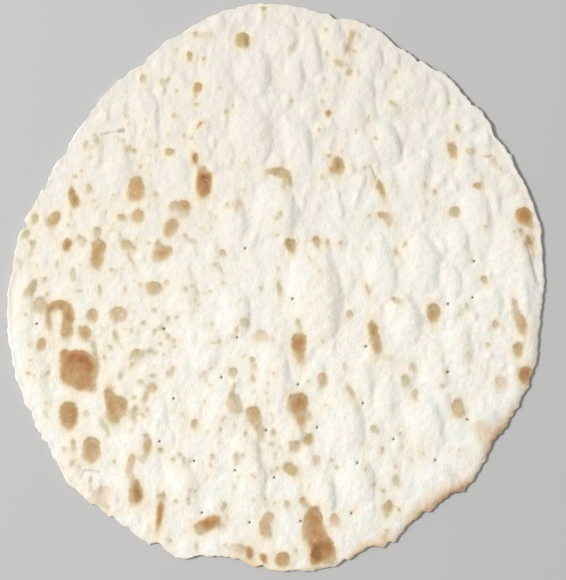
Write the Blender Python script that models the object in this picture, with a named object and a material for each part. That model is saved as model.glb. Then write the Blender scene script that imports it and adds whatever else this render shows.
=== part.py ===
"""Taftoon: a large, thin, round flatbread lying flat with its blistered side up.

The bread is one solid. A square grid is drawn out into the round, hand-stretched outline, its top is raised in long
soft blisters, its rim is rounded over, and its underside is one flat face.
Metres, +Z up, origin on the underside below the middle of the bread.
"""

import bmesh
import bpy
import numpy as np

MM = 0.001
NAME = "taftoon"

# Size of the round
WIDTH = 376 * MM            # along X
LENGTH = 399 * MM           # along Y, the way the dough was stretched
SHEET = 3.5 * MM            # crumb between the blisters
SWELL = 0.7 * MM            # slow rise and fall of the sheet
SWELL_SPAN = 95 * MM        # distance from one rise to the next

# The rim, from the top surface round to the underside
RIM_ROUND = 9 * MM          # how far in from the edge the top starts to round over
RIM_HEIGHT = 1.9 * MM       # height of the widest point of the edge
RIM_LOWER = 0.7 * MM        # height of the turn below it
LOWER_INSET = 0.6 * MM      # how far that turn lies inside the edge
FOOT_INSET = 2.4 * MM       # how far inside the edge the flat underside starts

# Where the outline leaves a plain oval: bearing in degrees from +X, half-width in degrees, how far out in mm
OUTLINE_LOBES = [
    (13, 4, 1.6),
    (32, 8, -3.2),
    (45, 6, -4.4),
    (60, 9, -8.4),
    (79, 8, -5.0),
    (98, 5, -1.4),
    (109, 5, -6.8),
    (121, 8, -11.6),
    (138, 12, -12.2),
    (155, 14, -11.6),
    (175, 5, -1.4),
    (205, 16, 4.0),
    (226, 8, 5.6),
    (241, 4, 3.0),
    (250, 3, 4.4),
    (260, 6, -6.4),
    (289, 3, -3.6),
    (304, 8, -7.6),
    (315, 3, 2.0),
    (325, 8, -4.6),
    (353, 6, -1.4),
]

# The large blisters: x, y, width, length and height in mm, and the lean of the long axis from +Y in degrees
BLISTERS = [
    (28, -7, 38, 66, 4.6, 8),
    (1, 50, 32, 40, 3.4, 10),
    (-14, 151, 24, 36, 3.3, 4),
    (5, 171, 20, 22, 2.4, 0),
    (17, 148, 16, 30, 2.6, 6),
    (-16, 108, 27, 42, 3.6, 5),
    (-89, 120, 21, 44, 3.0, 14),
    (-27, -18, 23, 37, 3.0, -6),
    (-1, -61, 25, 41, 3.6, 10),
    (-19, -128, 26, 50, 3.4, 6),
    (45, -93, 29, 44, 3.4, 12),
    (102, 17, 29, 44, 3.6, 10),
    (91, -23, 21, 36, 2.8, 14),
    (74, 13, 23, 36, 3.0, 8),
    (98, 78, 22, 24, 3.0, 20),
    (94, 134, 28, 22, 2.8, 40),
    (66, 159, 20, 19, 2.4, 30),
    (47, 173, 20, 26, 2.8, 10),
    (145, 47, 22, 42, 3.6, 8),
    (130, 26, 20, 34, 2.8, 6),
    (58, -137, 26, 32, 3.0, 20),
    (-65, -141, 20, 38, 2.8, 16),
    (105, -97, 30, 42, 3.4, 24),
    (113, -134, 18, 34, 2.6, 62),
    (-168, -58, 20, 44, 2.6, 14),
]

# The small blisters between them, spread by a seeded draw
SMALL_COUNT = 120
SMALL_WIDTH = (13 * MM, 22 * MM)
SMALL_STRETCH = (1.2, 2.0)      # length over width
SMALL_HEIGHT = (0.7 * MM, 1.7 * MM)
SMALL_LEAN = (-5, 30)           # degrees from +Y
SMALL_REACH = 0.94              # how far out they go, as a share of the outline's radius
SEED = 20

DOME_POWER = 1.5                # 1 is a plain round dome, more runs out more softly
BLEND_POWER = 3                 # how sharply overlapping blisters part, from 1, a plain sum

# The mesh
GRID_CELLS = 58             # cells along a side of the square grid
RIM_RINGS = 3               # outermost rings of cells, which make the rounded rim
RIM_CROWDING = 1.7          # over 1, the rim's rings crowd towards the edge


def disc_from_square(s, t):
    """Bearing and ring of each grid point: nested squares of the grid become nested circles."""
    wide = np.abs(s) >= np.abs(t)
    reach = np.where(wide, s, t)
    across = np.where(wide, t, s) / np.where(reach == 0, 1, reach)
    turn = np.pi / 4 * across
    angle = np.where(wide, turn, np.pi / 2 - turn)
    bearing = np.arctan2(reach * np.sin(angle), reach * np.cos(angle))
    return bearing, np.abs(reach)


def outline_radius(bearing):
    """Radius of the oval at each bearing, with the lobes and hollows of the hand-stretched edge."""
    across, along = WIDTH / 2, LENGTH / 2
    radius = across * along / np.hypot(along * np.cos(bearing), across * np.sin(bearing))
    for middle, spread, out in OUTLINE_LOBES:
        off = (np.degrees(bearing) - middle + 180) % 360 - 180
        radius = radius + out * MM * np.exp(-(off / spread) ** 2)
    return radius


def ring_radius(ring, edge):
    """Radius of each ring, 1 at the edge and 0 in the middle. The outermost rings crowd into the rounded rim, and the
    others share out the rest of the way evenly."""
    half = GRID_CELLS / 2
    steps_in = (1 - ring) * half
    rim_inset = RIM_ROUND * (np.clip(steps_in, 0, RIM_RINGS) / RIM_RINGS) ** RIM_CROWDING
    way_in = np.clip((steps_in - RIM_RINGS) / (half - RIM_RINGS), 0, 1)
    return (edge - rim_inset) * (1 - way_in)


def dome(x, y, blister):
    """Height of one blister: an oval dome that runs out smoothly into the sheet."""
    middle_x, middle_y, width, length, height, lean = blister
    lean = np.radians(lean)
    dx, dy = x - middle_x, y - middle_y
    across = (dx * np.cos(lean) + dy * np.sin(lean)) / (width / 2)
    along = (dy * np.cos(lean) - dx * np.sin(lean)) / (length / 2)
    return height * np.clip(1 - across ** 2 - along ** 2, 0, 1) ** DOME_POWER


def small_blisters():
    """The seeded small blisters, in the same form as a row of BLISTERS but in metres."""
    draw = np.random.default_rng(SEED)
    rows = []
    for _ in range(SMALL_COUNT):
        bearing = draw.uniform(-np.pi, np.pi)
        reach = SMALL_REACH * np.sqrt(draw.uniform(0, 1))
        radius = reach * outline_radius(bearing)
        width = draw.uniform(*SMALL_WIDTH)
        length = width * draw.uniform(*SMALL_STRETCH)
        height = draw.uniform(*SMALL_HEIGHT)
        lean = draw.uniform(*SMALL_LEAN)
        rows.append((radius * np.cos(bearing), radius * np.sin(bearing), width, length, height, lean))
    return rows


def top_height(x, y):
    """Height of the top: the swelling sheet, with all blisters blended where they meet."""
    swell = SWELL * np.sin(2 * np.pi * x / SWELL_SPAN + 1) * np.cos(2 * np.pi * y / SWELL_SPAN)
    large = [(*(MM * size for size in row[:5]), row[5]) for row in BLISTERS]
    raised = sum(dome(x, y, row) ** BLEND_POWER for row in large + small_blisters()) ** (1 / BLEND_POWER)
    return SHEET + swell + raised


def rounded_rim(inset, height):
    """Height near the edge: a quarter oval from the rim's widest point up to the top surface."""
    into = np.clip(inset / RIM_ROUND, 0, 1)
    return RIM_HEIGHT + (height - RIM_HEIGHT) * np.sqrt(1 - (1 - into) ** 2)


def bread_points(grid):
    """Moves the grid's points to the bread's surface. The grid's z says which turn of the rim a point belongs to."""
    bearing, ring = disc_from_square(grid[:, 0], grid[:, 1])
    turn = np.rint(-grid[:, 2])
    edge = outline_radius(bearing)
    radius = ring_radius(ring, edge)
    radius = np.where(turn == 1, edge - LOWER_INSET, radius)
    radius = np.where(turn == 2, edge - FOOT_INSET, radius)
    x, y = radius * np.cos(bearing), radius * np.sin(bearing)
    z = rounded_rim(edge - radius, top_height(x, y))
    z = np.where(turn == 1, RIM_LOWER, z)
    z = np.where(turn == 2, 0, z)
    middle_x, middle_y = (x.min() + x.max()) / 2, (y.min() + y.max()) / 2
    return np.column_stack([x - middle_x, y - middle_y, z])


def drop_border(bm):
    """Extrudes the sheet's open border one step down, and returns the new border's edges."""
    border = [edge for edge in bm.edges if edge.is_boundary]
    made = bmesh.ops.extrude_edge_only(bm, edges=border)["geom"]
    lower = [item for item in made if isinstance(item, bmesh.types.BMVert)]
    bmesh.ops.translate(bm, verts=lower, vec=(0, 0, -1))
    return [edge for edge in bm.edges if edge.is_boundary]


def closed_sheet():
    """A square grid for the top, two turns down for the rim, and one flat face for the underside."""
    bm = bmesh.new()
    bmesh.ops.create_grid(bm, x_segments=GRID_CELLS, y_segments=GRID_CELLS, size=1)
    drop_border(bm)
    foot = drop_border(bm)
    bmesh.ops.holes_fill(bm, edges=foot)
    bmesh.ops.recalc_face_normals(bm, faces=bm.faces)
    mesh = bpy.data.meshes.new(NAME)
    bm.to_mesh(mesh)
    bm.free()
    return mesh


def baked_crust():
    """Pale, floury, matt bread crust."""
    material = bpy.data.materials.new("baked_crust")
    material.use_nodes = True
    shader = material.node_tree.nodes["Principled BSDF"]
    shader.inputs["Base Color"].default_value = (0.86, 0.80, 0.70, 1)
    shader.inputs["Roughness"].default_value = 0.85
    shader.inputs["Metallic"].default_value = 0
    material.diffuse_color = (0.86, 0.80, 0.70, 1)
    return material


def make_taftoon(collection):
    """The bread itself."""
    mesh = closed_sheet()
    grid = np.empty(len(mesh.vertices) * 3)
    mesh.vertices.foreach_get("co", grid)
    mesh.vertices.foreach_set("co", bread_points(grid.reshape(-1, 3)).ravel())
    mesh.update()
    mesh.shade_smooth()
    mesh.materials.append(baked_crust())
    bread = bpy.data.objects.new(NAME, mesh)
    collection.objects.link(bread)
    return bread


def main():
    for old in list(bpy.data.objects):
        bpy.data.objects.remove(old, do_unlink=True)
    collection = bpy.data.collections.new(NAME)
    bpy.context.scene.collection.children.link(collection)
    make_taftoon(collection)


main()
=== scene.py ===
"""The looks of a taftoon: a pale, blistered, scorch-spotted flatbread on a plain pale floor.

One closed mesh stands for the bread. Its shape and its baking marks are worked out as whole arrays, and the
crust's material turns the marks into colour, grain and sheen. Sizes in the tables are millimetres, the mesh
is in metres.
"""

import math

import bpy
import numpy as np
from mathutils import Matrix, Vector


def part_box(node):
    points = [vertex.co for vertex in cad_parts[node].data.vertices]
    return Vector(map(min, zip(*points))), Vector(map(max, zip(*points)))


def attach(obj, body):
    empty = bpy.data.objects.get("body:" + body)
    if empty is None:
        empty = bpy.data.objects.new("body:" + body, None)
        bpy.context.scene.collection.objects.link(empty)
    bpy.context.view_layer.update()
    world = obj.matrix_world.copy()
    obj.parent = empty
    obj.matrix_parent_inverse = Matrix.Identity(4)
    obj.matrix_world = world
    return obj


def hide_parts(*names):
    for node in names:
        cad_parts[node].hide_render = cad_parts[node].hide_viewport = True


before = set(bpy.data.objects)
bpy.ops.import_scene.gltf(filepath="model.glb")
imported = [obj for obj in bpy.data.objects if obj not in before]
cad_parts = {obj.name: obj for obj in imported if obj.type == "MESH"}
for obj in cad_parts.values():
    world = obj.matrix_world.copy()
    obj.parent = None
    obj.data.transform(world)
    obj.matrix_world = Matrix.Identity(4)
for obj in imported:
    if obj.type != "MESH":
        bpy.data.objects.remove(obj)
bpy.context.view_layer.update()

MM = 0.001

# ---------------------------------------------------------------- the round

WIDTH = 376                 # along X
LENGTH = 399                # along Y, the way the dough was stretched
SHEET = 3.4                 # crumb between the blisters
CROWN = 1.0                 # how much thicker the middle of the round is, fading out over its radius
TALLEST = 8.2               # no blister stands higher than this

# Every blister, crease, hole and spot is placed from this point
MARKS_CENTRE = (-0.4, -1.5)

# Where the outline leaves a plain oval: bearing in degrees from +X, half-width in degrees, how far out
OUTLINE_LOBES = [
    (13, 4, 1.6),
    (32, 8, -3.2),
    (45, 6, -4.4),
    (60, 9, -8.4),
    (79, 8, -5.0),
    (98, 5, -1.4),
    (109, 5, -6.8),
    (121, 8, -11.6),
    (138, 12, -12.2),
    (155, 14, -11.6),
    (175, 5, -1.4),
    (205, 16, 4.0),
    (226, 8, 5.6),
    (241, 4, 3.0),
    (250, 3, 4.4),
    (260, 6, -6.4),
    (289, 3, -3.6),
    (304, 8, -7.6),
    (315, 3, 2.0),
    (325, 8, -4.6),
    (353, 6, -1.4),
]

# Nicks and tags of the torn edge: bearing, half-width in degrees, how far out
EDGE_NICKS = [
    # the upper right
    (0.5, 1.5, 0.6), (24.4, 1.0, -1.2), (26.5, 0.8, -0.6), (29.2, 0.6, 2.0), (34.8, 1.9, -2.0),
    (43, 0.5, -1.0), (51.5, 0.8, 0.6), (55, 1.3, -1.4), (58, 0.6, -1.2), (60, 0.5, 0.8), (64.5, 1.8, -1.2),
    (70, 0.6, -0.8), (77, 1.4, -1.1), (79, 0.4, 0.8), (88.5, 1.8, -0.9),
    # the upper left
    (91.5, 1.2, -0.9), (99, 1.5, -1.0), (103, 2.0, -1.9), (112, 2.0, -1.0), (116.5, 2.6, -1.8),
    (120.5, 1.2, -1.8), (126, 1.5, -1.4), (130, 3.0, -2.0), (135, 2.5, -1.3), (138, 1.0, -1.0),
    (142, 1.3, 0.9), (147.4, 1.2, -2.0), (151.5, 1.2, 0.4), (155.5, 0.6, -1.0), (157, 0.6, -2.6),
    (161.5, 2.5, -1.1), (166.4, 0.8, -2.8), (171, 1.5, -0.8), (176.5, 1.5, -1.3), (180, 1.5, -0.8),
    # the lower left
    (190, 1.2, 1.0), (208, 1.4, -2.0), (212, 0.6, -0.9), (215.5, 0.8, -1.0), (221.5, 2.0, 1.1),
    (226.5, 1.2, -0.7), (234, 0.4, 1.2), (235, 0.5, -0.9), (238.7, 0.8, -1.1), (241, 0.4, -0.9),
    (244, 0.6, 1.6), (254, 2.0, -0.9), (260, 1.0, -0.5), (262.6, 1.2, -1.3), (267.2, 0.7, -2.8),
    (268.4, 0.6, -1.0),
    # the lower right
    (279, 3.0, 1.4), (284, 0.6, -1.2), (287, 1.0, -0.6), (292.6, 1.0, 1.8), (295, 0.7, 2.2),
    (297, 1.2, 1.2), (302, 1.5, 1.4), (305, 1.3, 3.0), (307.5, 1.5, 1.4), (312.5, 0.8, 2.2),
    (315.5, 1.2, 1.2), (318, 0.8, 1.2), (320.7, 1.0, 2.0), (323, 1.0, 0.6), (327, 0.8, 2.8),
    (328.9, 0.9, 1.7), (334, 0.7, 1.6), (338.5, 0.8, 1.5), (341.5, 0.8, 1.8), (344.5, 2.0, 1.7),
]

# Sharp steps of the torn edge: bearing, how far the edge steps out there going round anticlockwise
EDGE_STEPS = [
    (42, -1.6), (53, -1.4), (57.5, -1.2), (78, 1.0), (119.5, -1.4), (157, 1.4), (165.5, -1.2), (214, -1.5),
    (226, -1.2), (236, 1.2), (244, -1.6), (254, -1.0), (268, 1.2), (273, 0.8), (283, -1.0), (287, -0.8),
    (300, -0.8), (308, 0.8), (313, -1.0), (318, -0.4), (327.5, 0.6),
]

# Blisters: x, y, width, length, height, lean of the long axis from +Y towards -X in degrees
BLISTERS = [
    (26.7, -5.3, 37, 66, 4.9, 8),
    (0.7, 52.7, 31, 40, 3.8, 12),
    (-14.3, 151.7, 22, 36, 3.0, 4),
    (4.7, 172.7, 20, 22, 2.4, 0),
    (13.7, 148.7, 13, 30, 2.2, 6),
    (23.7, 166.7, 14, 40, 2.2, 4),
    (-16.3, 108.7, 27, 44, 2.8, 12),
    (15.7, 100.7, 18, 42, 2.4, 8),
    (-91.3, 122.7, 20, 46, 1.7, 10),
    (-40.3, 144.7, 22, 46, 1.3, 2),
    (-29.3, -17.3, 23, 37, 2.6, -4),
    (-2.3, -59.3, 24, 44, 2.6, 8),
    (-19.3, -127.3, 22, 52, 3.2, 8),
    (46.7, -92.3, 28, 50, 3.0, 10),
    (101.7, 17.7, 27, 42, 3.4, 8),
    (89.7, -22.3, 23, 38, 3.2, 12),
    (73.7, 13.7, 22, 40, 2.6, 8),
    (77.7, 100.7, 20, 28, 3.5, 10),
    (97.7, 80.7, 22, 28, 2.8, 14),
    (94.7, 136.7, 28, 24, 2.4, 40),
    (66.7, 159.7, 20, 20, 2.4, 30),
    (40.7, 172.7, 18, 30, 2.2, 8),
    (58.7, 137.7, 20, 26, 2.2, 16),
    (54.7, 122.7, 16, 24, 2.2, 20),
    (80.7, 124.7, 16, 16, 1.8, 20),
    (62.7, 96.7, 15, 30, 2.2, 20),
    (114.7, 136.7, 14, 20, 2.0, 30),
    (141.7, 48.7, 22, 44, 3.2, 14),
    (128.7, 32.7, 16, 34, 2.4, 10),
    (150.7, -7.3, 18, 26, 2.0, 14),
    (127.7, -37.3, 18, 30, 2.4, 18),
    (161.7, 30.7, 26, 52, 2.6, 14),
    (168.7, -1.3, 18, 40, 2.2, 8),
    (60.7, -65.3, 18, 34, 2.2, 8),
    (77.7, -77.3, 16, 32, 2.0, 6),
    (56.7, -134.3, 24, 34, 3.0, 16),
    (32.7, -142.3, 20, 28, 3.0, 10),
    (-65.3, -139.3, 20, 40, 2.1, 14),
    (104.7, -94.3, 26, 44, 2.8, 18),
    (112.7, -133.3, 20, 40, 2.4, 62),
    (-169.3, -59.3, 20, 52, 1.5, 16),
    (-175.3, -9.3, 14, 40, 1.6, -4),
    (-66.3, -1.3, 20, 44, 1.8, 6),
    (-49.3, -39.3, 22, 40, 1.6, 4),
    (-39.3, -83.3, 24, 40, 1.6, 6),
    (-85.3, -87.3, 20, 40, 1.6, 10),
    (-31.3, 50.7, 20, 44, 2.0, 4),
    (-111.3, 84.7, 18, 36, 1.8, -6),
    (-127.3, 96.7, 14, 28, 1.4, -10),
    (-69.3, 84.7, 16, 30, 1.4, 4),
    (132.7, 84.7, 14, 26, 1.8, 14),
    (152.7, 60.7, 12, 30, 1.8, 12),
    (122.7, 4.7, 16, 26, 1.8, 10),
    (112.7, -57.3, 14, 26, 1.8, 10),
    (146.7, -89.3, 18, 26, 2.0, 26),
]

# The rolled ridge inside the right-hand edge: bearings of its ends, inset from the edge at each end, height
RIDGE_ENDS = (-14, 14)
RIDGE_INSET = (6, 15)
RIDGE_HEIGHT = 1.3

RAISE = 0.8                 # all blisters together, as a share of their heights
CREST = 0.42                # how far right of its middle a blister's crest lies, as a share of half its width
BLISTER_SPREAD = 1.12       # how wide and long a blister runs out, as a share of the size in its row
DOME_POWER = 1.2            # 1 is a plain round dome, more runs out more softly
BLEND_POWER = 3             # how sharply overlapping blisters part, from 1, a plain sum

# Small blisters, spread evenly by a seeded draw and finer towards the upper right
SMALL_COUNT = 420
SMALL_TRIES = 12            # random places that each one is the best of
SMALL_REACH = 0.93          # the square of how far out they go, as a share of the outline's radius
SMALL_WIDTH = (7, 16)
SMALL_STRETCH = (0.9, 1.7)
SMALL_HEIGHT = (0.3, 1.15)
SMALL_LEAN = (-4, 26)

# Scorched spots: x, y, width, length, lean, how deeply scorched from 0 to 1, hue from -1 pinkish to 1 olive
SCORCHES = [
    # the left side, from the top down
    (-92.4, 146.6, 6.5, 5.5, 70, 0.4, 0.8), (-74.8, 145.6, 5, 4, 60, 0.4, 0.2),
    (-60, 161.7, 4.5, 7.5, 0, 0.72, 0.6), (-49.4, 160, 4, 3.5, 0, 0.3, 0.4),
    (-54.6, 140, 7, 9.5, -15, 0.85, 0.6), (-54.3, 128.8, 2.8, 5, 80, 0.35, 0.4),
    (-71, 120.6, 3.5, 4, 0, 0.4, 0.5), (-53.6, 114, 3, 6.5, -50, 0.75, -0.1), (-34, 123, 4, 4, 0, 0.3, 0.5),
    (-55.7, 177.5, 4, 4.5, 0, 0.5, 0.2), (-48, 176, 8, 7, 0, 0.12, -0.1),
    (-22.8, 173.6, 11.5, 11.5, 10, 0.7, 0.5), (-105, 96, 2.6, 4.5, 0, 0.3, 0.2),
    (-99.4, 96, 4.5, 4.5, 0, 0.4, -0.2), (-74, 95, 7, 6.5, 0, 0.62, 0.7), (-55.7, 90, 5, 10, 20, 1.1, 0.9),
    (-50, 72, 12, 20, 0, 0.95, -0.4), (-49.7, 83.5, 3.5, 5, 0, 0.5, 0), (-50, 77.5, 9, 8, 0, 1.25, -0.1),
    (-139, 78, 3, 3.6, 60, 0.3, 0.3), (-130, 70, 4.5, 6.5, 0, 0.45, 0.6),
    (-97.3, 69.3, 12.5, 19.5, -8, 0.75, -0.3), (-142.5, 66, 4.6, 9, 8, 0.96, 0.9),
    (-140.2, 60.5, 7.6, 9.5, 12, 0.92, 1.0), (-107.5, 49.4, 5.5, 6.3, 0, 0.65, -0.4),
    (-96, 50.4, 9.5, 11, -10, 0.6, 0.1), (-71.7, 58, 6, 8, -30, 0.5, 0.2),
    (-63.7, 57.4, 10, 8.5, 0, 0.7, 0), (-64, 51.6, 6, 6, 0, 0.2, 0), (-73, 42, 10.5, 16, -20, 0.65, 0.1),
    (-155, 48.3, 8.5, 13.5, -30, 0.65, -0.1), (-168.4, 49, 5.5, 9.5, -25, 0.5, 0.2),
    (-174.7, 38, 5, 7, -35, 0.4, 0.9), (-125, 39.2, 6.5, 8.5, -20, 0.4, 0.4),
    (-145.8, 29.9, 8, 11.5, -10, 0.88, 0.9), (-137, 35.7, 3.2, 4, 0, 0.3, 0.2),
    (-123.3, 28.8, 10.5, 12, 0, 0.75, 0.0), (-124.6, 21, 9.5, 17, -8, 0.7, 0.3),
    (-103.6, 30.5, 8.5, 6.5, 0, 0.66, -0.3), (-98.2, 28, 3.6, 4, 0, 0.45, 0),
    (-100, 19, 3, 13, 25, 0.3, -0.3), (-79.4, 24.5, 12, 11, 0, 0.75, -0.4),
    (-81.8, 30.5, 4.6, 6, 0, 0.35, 0.3), (-74.2, 27.3, 6, 5, 0, 0.7, 0.7),
    (-83.6, 20.5, 6, 5.5, 0, 0.06, -0.3), (-62.6, 35.7, 2.8, 5, 15, 0.3, 0),
    (-57.5, 33, 3, 5, 70, 0.3, -0.4), (-85, 0, 12.2, 10.5, 0, 0.5, 0.2), (-75.6, 4, 3.8, 6, 0, 0.2, -0.8),
    (-171, 26, 3, 11, -20, 0.3, 0.3), (-178.5, 18, 4.5, 8, 0, 0.2, 0.6),
    (-152.6, 15.8, 2.8, 5.5, 0, 0.25, 0.2), (-141.4, 10.5, 4, 7, 0, 0.3, 0.2),
    (-161.4, 6.3, 3.8, 4, 0, 0.3, -0.3), (-138.6, -1.7, 3, 5.5, -65, 0.3, 0.5),
    (-123.2, -2.8, 3, 9, 0, 0.3, -0.1), (-171, -0.7, 6.5, 15.5, -30, 0.45, 0.7),
    (-165, -12, 9, 12, -10, 0.45, 0.4),
    # the hooked spot with its pale middle
    (-158, -23, 4.6, 19, 8, 0.72, 0.3), (-156, -13.2, 6, 12, -45, 0.95, 0.6),
    (-149.5, -12, 11, 7.5, 0, 0.78, 0), (-144.6, -19, 8.5, 15, 14, 0.9, 0.1),
    (-145.6, -29, 9, 15, 0, 0.75, 0.35),
    # round it and to its right
    (-128, -18.5, 8.5, 10, 0, 0.55, -0.3), (-109.5, -18.2, 12, 11, 0, 0.36, -0.5),
    (-133.3, -31.5, 9.5, 12, 10, 0.65, 0.3), (-163.4, -39.5, 7.5, 9.5, -15, 0.7, 0.4),
    (-112, -33.6, 4, 9, 10, 0.3, 0.3), (-92, -24, 4, 4.2, 0, 0.35, 0.4),
    (-84.4, -16, 3.5, 4.5, 0, 0.25, 0.6), (-75.3, -22, 2.8, 5.5, 0, 0.35, 0.4),
    (-75.3, -33.6, 4, 4, 0, 0.4, 0.5), (-70.7, -36.4, 2.8, 3.6, 80, 0.5, -0.1),
    (-80.5, -38.9, 2.6, 3.4, -20, 0.35, 0.3),
    # the great burnt patch and its corners
    (-137.2, -54.6, 28, 21.5, -14, 0.9, -0.45), (-147.6, -47.2, 6, 9, 0, 0.9, -0.5),
    (-136.5, -51, 19, 14, 0, 1.1, -0.8), (-135, -64.2, 20, 16.5, 0, 0.85, -0.15),
    (-128, -69.5, 5, 7, 10, 0.75, 0), (-142.3, -61.3, 17, 16, 0, 0.78, 0.1),
    # the lower left
    (-126.3, -43, 3.4, 13, 8, 0.25, 0.5), (-98, -46, 7, 7, 0, 0.5, 0.6),
    (-101, -53.5, 3.5, 7.5, -20, 0.45, 0.3), (-93.5, -46.5, 3.4, 6, -25, 0.3, 0.8),
    (-84.4, -45.5, 4.2, 5, 0, 0.2, -0.4), (-72, -57.5, 3.6, 7.5, -30, 0.4, 0.1),
    (-108.5, -61, 4.2, 6.5, -10, 0.35, 0.4), (-94.5, -65, 3.8, 4.5, 0, 0.4, 0.1),
    (-86.5, -69.3, 7.5, 8, -45, 0.5, -0.2), (-91, -76.3, 4.4, 12, -15, 0.4, 0),
    (-144.6, -89.6, 13.5, 21, 0, 0.88, -0.2), (-132.3, -87.2, 4.2, 6, 0, 0.2, 0.5),
    (-115, -80.5, 8.5, 25, 6, 0.85, 0.2), (-110.5, -83.5, 15, 17, 0, 0.72, 0.1),
    (-113, -91, 10, 9, 0, 0.68, -0.1), (-120, -96, 4, 9, 25, 0.2, 0.9), (-98.7, -86, 4.2, 10, -15, 0.35, 0),
    (-91.7, -88.5, 3.6, 4, 40, 0.35, 0.1), (-56.7, -95, 5, 8.5, -10, 0.45, 0.4),
    (-128.8, -113.4, 14, 19, 0, 0.64, 0.2), (-141.8, -110, 3.6, 9.5, 0, 0.45, 0.5),
    (-143, -123, 3.5, 8.5, -20, 0.35, 0.2), (-147.7, -112, 3, 3.6, 0, 0.25, 0.8),
    (-90.6, -103.6, 3.5, 4, 0, 0.3, -0.2), (-89.6, -110.6, 6.5, 12, -12, 0.7, 0.1),
    (-92, -119.5, 5, 7, -10, 0.15, 0.3), (-80, -113.4, 4.4, 4, 0, 0.5, 0.6),
    (-101, -121.8, 5.5, 14, -15, 0.33, -0.6), (-100.5, -132, 4, 12, 10, 0.1, -0.7),
    (-97, -143, 9.5, 18, 7, 1.1, 0.4), (-101, -147, 4, 10, 0, 0.2, 0.2),
    (-64, -120.4, 2.8, 8.5, 15, 0.25, 0.6), (-44.5, -117.6, 4, 4.5, 0, 0.25, 0.8),
    (-81.2, -159, 5.6, 22, -7, 1.1, 0.3), (-81.2, -145.6, 2.8, 4, 0, 0.4, 0),
    (-121, -145, 16, 13, 30, 0.12, -0.8), (-119, -152, 3.6, 10, 55, 0.3, 0.1),
    (-130, -140.7, 2.8, 5, -10, 0.2, 0.6), (-47.3, -164.5, 10, 19.5, -62, 0.9, -0.5),
    (-37.5, -167.5, 5, 5.5, 0, 0.1, -0.5), (-52.4, -169.5, 7, 7, 0, 0.42, 0.6),
    # the middle
    (35, 180.6, 2.8, 4.5, 0, 0.45, 0.1), (53, 176, 4, 9, -8, 0.75, 0), (51, 168.5, 3, 9, -10, 0.4, 0),
    (-8, 195.2, 4, 3.5, 0, 0.45, 0.6), (55.6, 166, 2.8, 3.8, 90, 0.4, 0.3),
    (44.5, 157.6, 4, 8, 55, 0.5, 0.3), (50.4, 156, 2.6, 2.8, 0, 0.35, 0.3),
    (50.4, 150.6, 4.2, 4.2, 0, 0.5, -0.3), (36, 164.5, 2.6, 3, 0, 0.3, 0.1),
    (37, 121.8, 5, 5.5, 0, 0.9, 0.8), (65.4, 118.5, 2.2, 5, 0, 0.3, 0.5),
    (70.8, 105.4, 2.8, 3.8, 60, 0.35, -0.2), (42.5, 85.4, 8.5, 13, -5, 0.75, -0.3),
    (46, 84, 5, 9, 5, 0.6, 0.8), (37.5, 92.4, 3, 3, 0, 0.5, 0), (32.5, 77.4, 3.5, 4.5, 0, 0.3, 0.8),
    (-2.5, 82.3, 4.6, 14, -82, 0.5, 0.5), (5.3, 79.8, 6.5, 10.5, 65, 0.72, 0.3),
    (9.2, 74.5, 6, 11, 8, 0.3, 0.4), (5.8, 72, 3, 5, 5, 0.5, 0.4), (-26.6, 57.7, 8, 8.5, 0, 0.13, -0.7),
    (-22.8, 68, 5, 4, 0, 0.1, 0.5), (-37.5, 24.9, 5.2, 5.5, 0, 0.5, 0.2), (-42.4, 16, 2.8, 3, 0, 0.3, 0.6),
    (-45.5, 52, 2.6, 4.5, 30, 0.15, 0.5), (10.9, 30, 7.8, 11.5, 0, 0.72, 0.8),
    (29, 32.2, 5.8, 9, 15, 0.62, -0.4), (36.8, 32.2, 4, 5, 0, 0.35, 0.1),
    (45.8, 30.8, 2.8, 3.5, 0, 0.35, 0.4), (3, -0.7, 4.5, 11, 15, 0.33, 0.3),
    (2.5, 13.3, 2.6, 4, 0, 0.2, 0.2), (-21, -24.5, 5.5, 9.5, 20, 0.2, -0.2),
    (-10, -33.6, 9.5, 10, 0, 0.15, -0.8), (15.4, -23, 4, 5, 0, 0.3, 0.8),
    (16.4, -38.8, 11, 16, 0, 0.88, 0.15), (17.4, -46.5, 6.5, 16, 5, 0.68, 0.0),
    (22.8, -65, 3.2, 3.2, 0, 0.25, 0.6), (33.3, -64.2, 8, 10.5, 8, 0.3, -0.7),
    (-29.8, -58.5, 6.8, 8.5, 0, 0.45, 0.45), (-16.5, -50.4, 3.2, 4.5, 0, 0.35, 0.1),
    (-16, -63, 3.6, 5.5, 0, 0.35, 0.1), (-29, -80.5, 9.5, 14.5, 0, 0.18, -0.7),
    (-27.8, -79, 3.6, 10, 15, 0.45, 0.2), (-24.8, -85.4, 3, 5, 0, 0.5, 0.2),
    (-15, -89.6, 10, 14, 10, 0.74, 0.0), (-11.5, -99, 3.8, 13, 22, 0.45, 0.4),
    (-12, -111, 3, 14, 0, 0.05, 0.6), (15.8, -81.5, 13, 18, -4, 0.82, 0.1),
    (17.8, -90, 8.5, 17, 10, 0.75, 0.1), (9.5, -82, 4, 6, 0, 0.3, 0.2),
    (25, -90.3, 2.8, 5.5, 15, 0.2, -0.8), (22.8, -105.7, 7.8, 10, 0, 0.65, 0.7),
    (13.3, -110, 8.2, 9, 0, 0.24, -0.3), (14.4, -109.6, 3.4, 3.6, 0, 0.7, -0.3),
    (11.2, -126.7, 8.5, 12.5, 50, 0.65, 0.4), (29, -120.4, 6.5, 8, 0, 0.17, -1.0),
    (-2.8, -109, 5, 4, 0, 0.2, 0.4), (43, -125.7, 4, 4.2, 0, 0.25, 0.4),
    (19.6, -149.6, 4.8, 8.5, 5, 0.55, 0.3), (8.4, -151.5, 4, 6.5, 10, 0.42, -0.4),
    # along the bottom edge
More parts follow.
